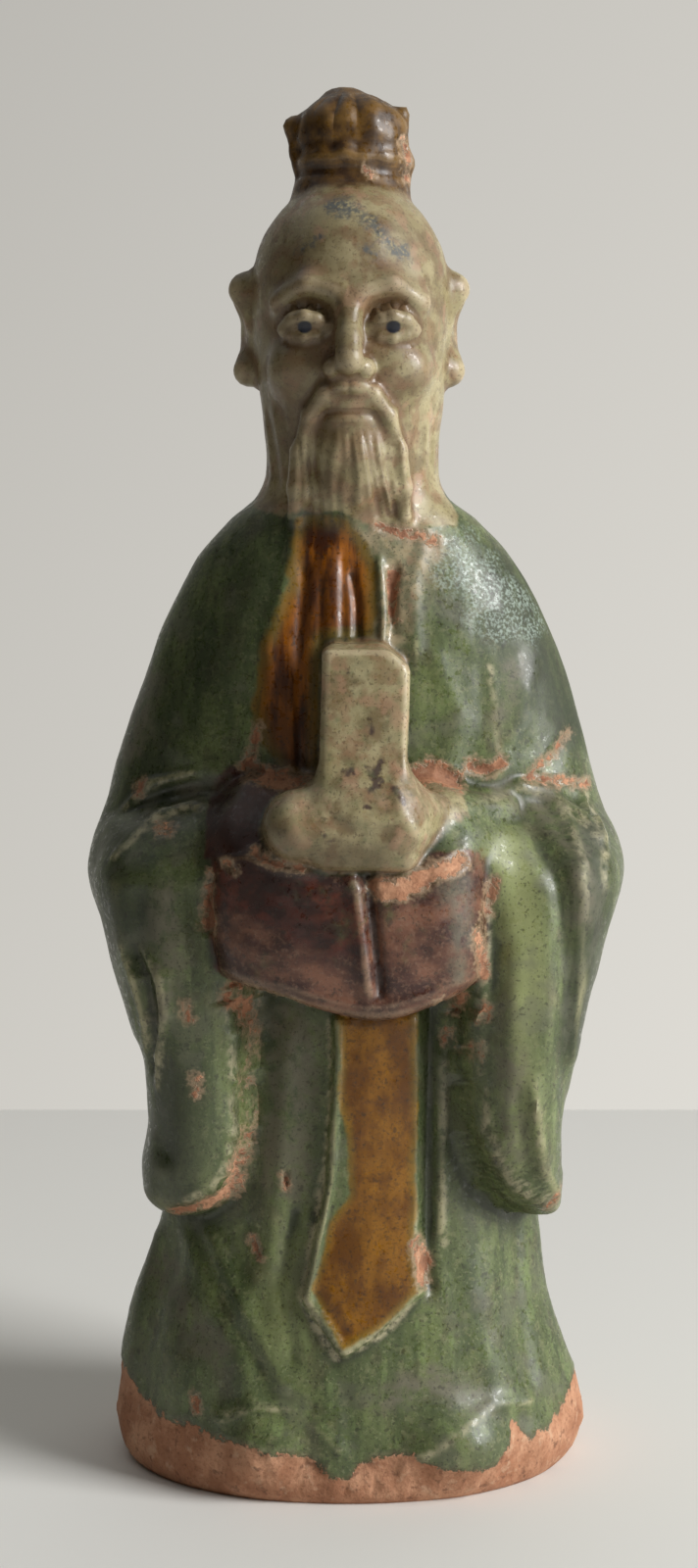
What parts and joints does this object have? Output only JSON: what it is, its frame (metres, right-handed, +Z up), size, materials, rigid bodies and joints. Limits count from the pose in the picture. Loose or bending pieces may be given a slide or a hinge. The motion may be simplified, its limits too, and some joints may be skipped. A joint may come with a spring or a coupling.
{
  "type": "tomb figure",
  "caption": "Standing robed official of moulded earthenware in green, amber and straw glaze, holding an upright tablet before the chest; solid one-piece statuette on a flat foot.",
  "frame": {"origin": "middle of the flat underside, on the surface the figure stands on", "axes": "+Z up along the figure, -Y the way the figure faces, +X to the viewer's right when the face is seen"},
  "size_m": [0.0781, 0.0601, 0.2005],
  "materials": {
    "glazed_earthenware": "glossy lead glaze, green with amber, purple-brown and straw, bare salmon clay at the foot"
  },
  "bodies": {
    "root": {"figure": "glazed_earthenware"}
  },
  "joints": []
}
